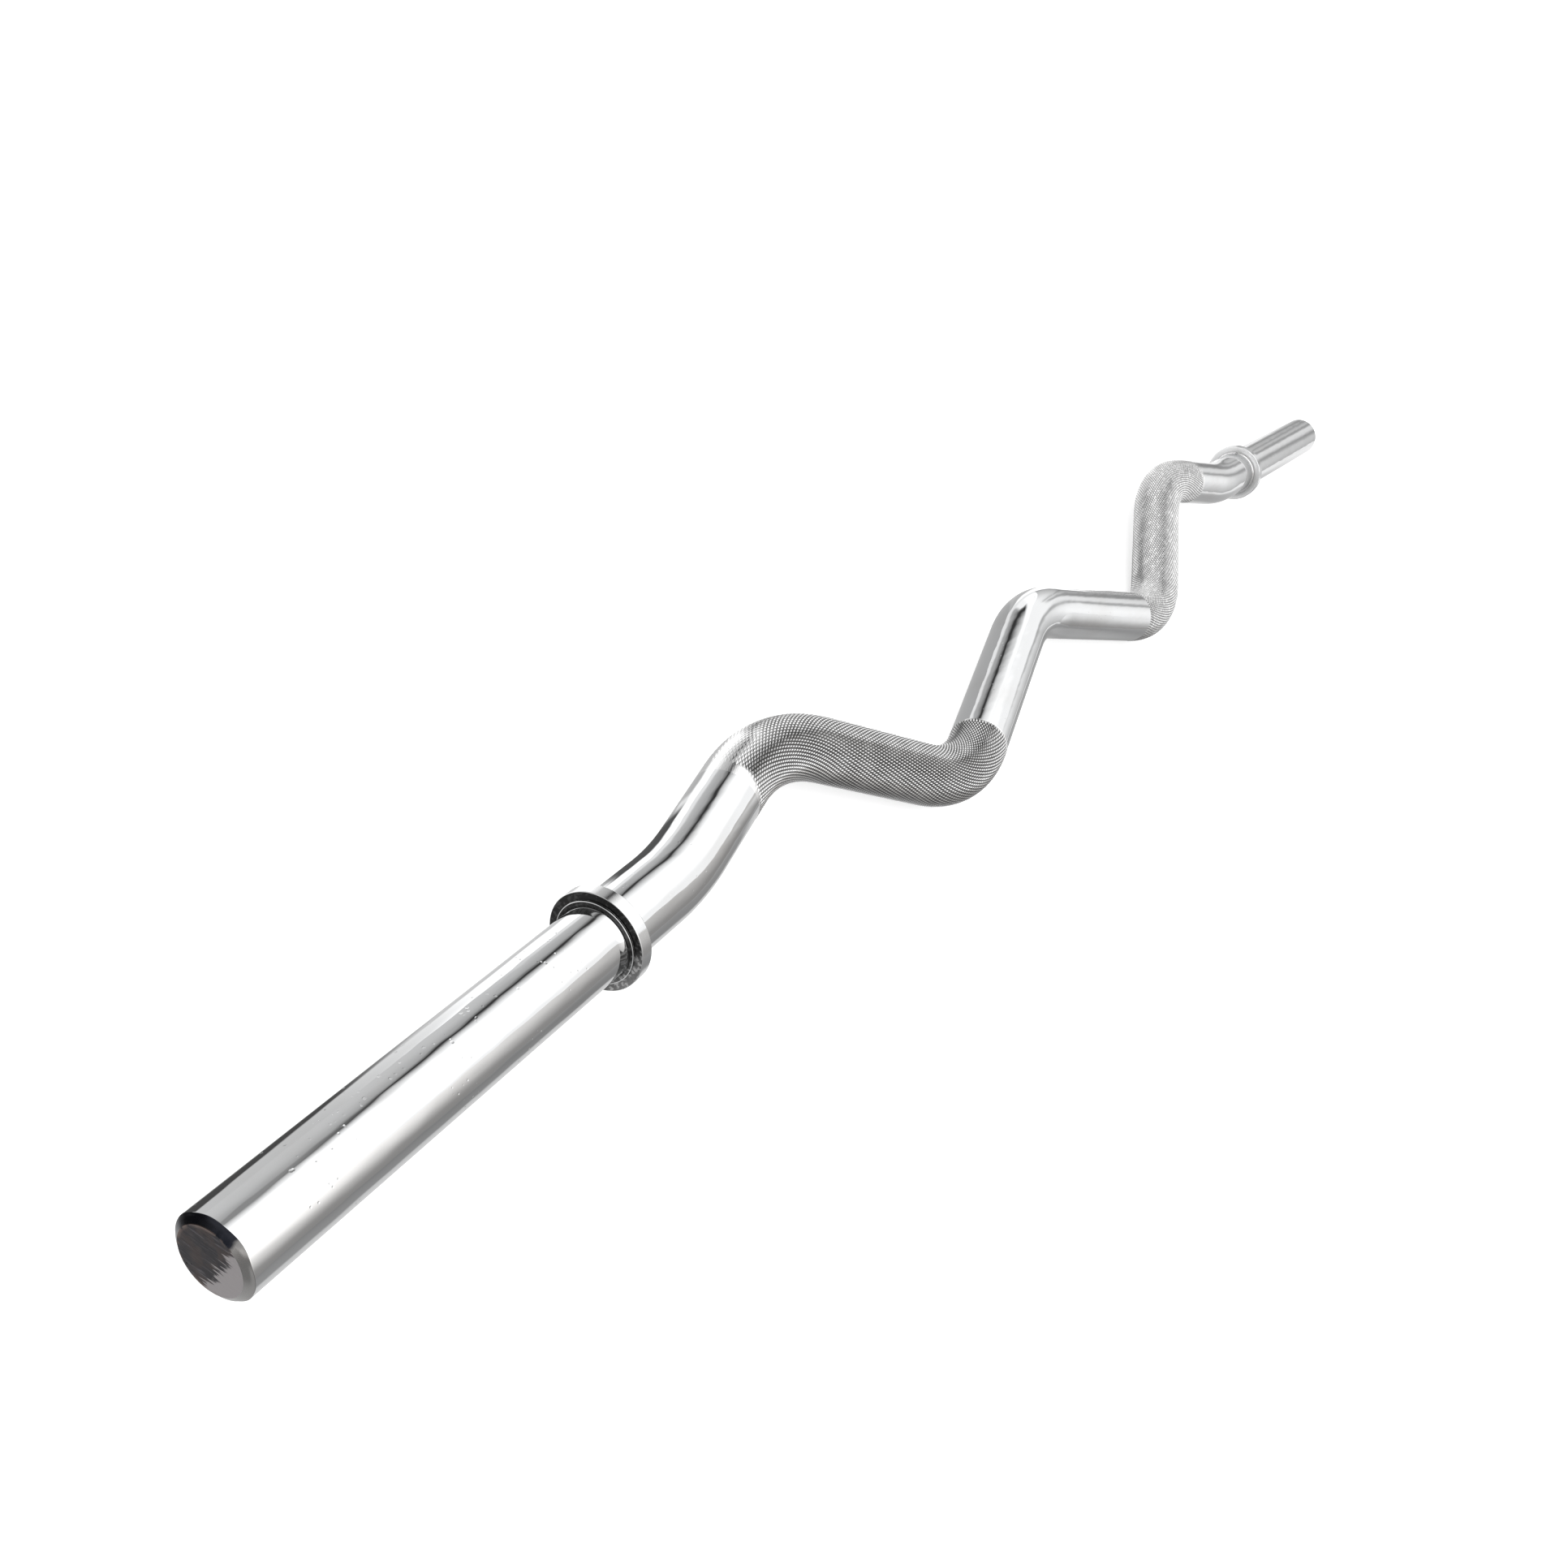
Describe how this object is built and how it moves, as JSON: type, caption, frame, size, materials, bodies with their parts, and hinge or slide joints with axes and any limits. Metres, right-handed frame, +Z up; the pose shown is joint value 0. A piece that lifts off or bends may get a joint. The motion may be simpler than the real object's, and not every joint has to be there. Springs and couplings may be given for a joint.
{
  "type": "ez curl bar",
  "caption": "Chromed W-shaped curl bar for weight plates: one bent solid steel bar with knurled angled grips, plain plate sleeves with chamfered tips, and welded stop collars.",
  "frame": {"origin": "middle of the bar, on the line through the centres of the two sleeve tips", "axes": "+X along the bar towards the right sleeve, +Y towards the outer peaks of the grip, +Z up as the bar rests on a flat floor"},
  "size_m": [1.2006, 0.0895, 0.0404],
  "materials": {
    "bar_chrome": "bright chrome plate, knurled in two bands",
    "collar_chrome": "bright chrome plate over turned steel",
    "weld_chrome": "chrome plate over a dressed weld"
  },
  "bodies": {
    "root": {"bar": "bar_chrome", "left_collar": "collar_chrome", "right_collar": "collar_chrome", "left_collar_weld": "weld_chrome", "right_collar_weld": "weld_chrome"}
  },
  "joints": []
}
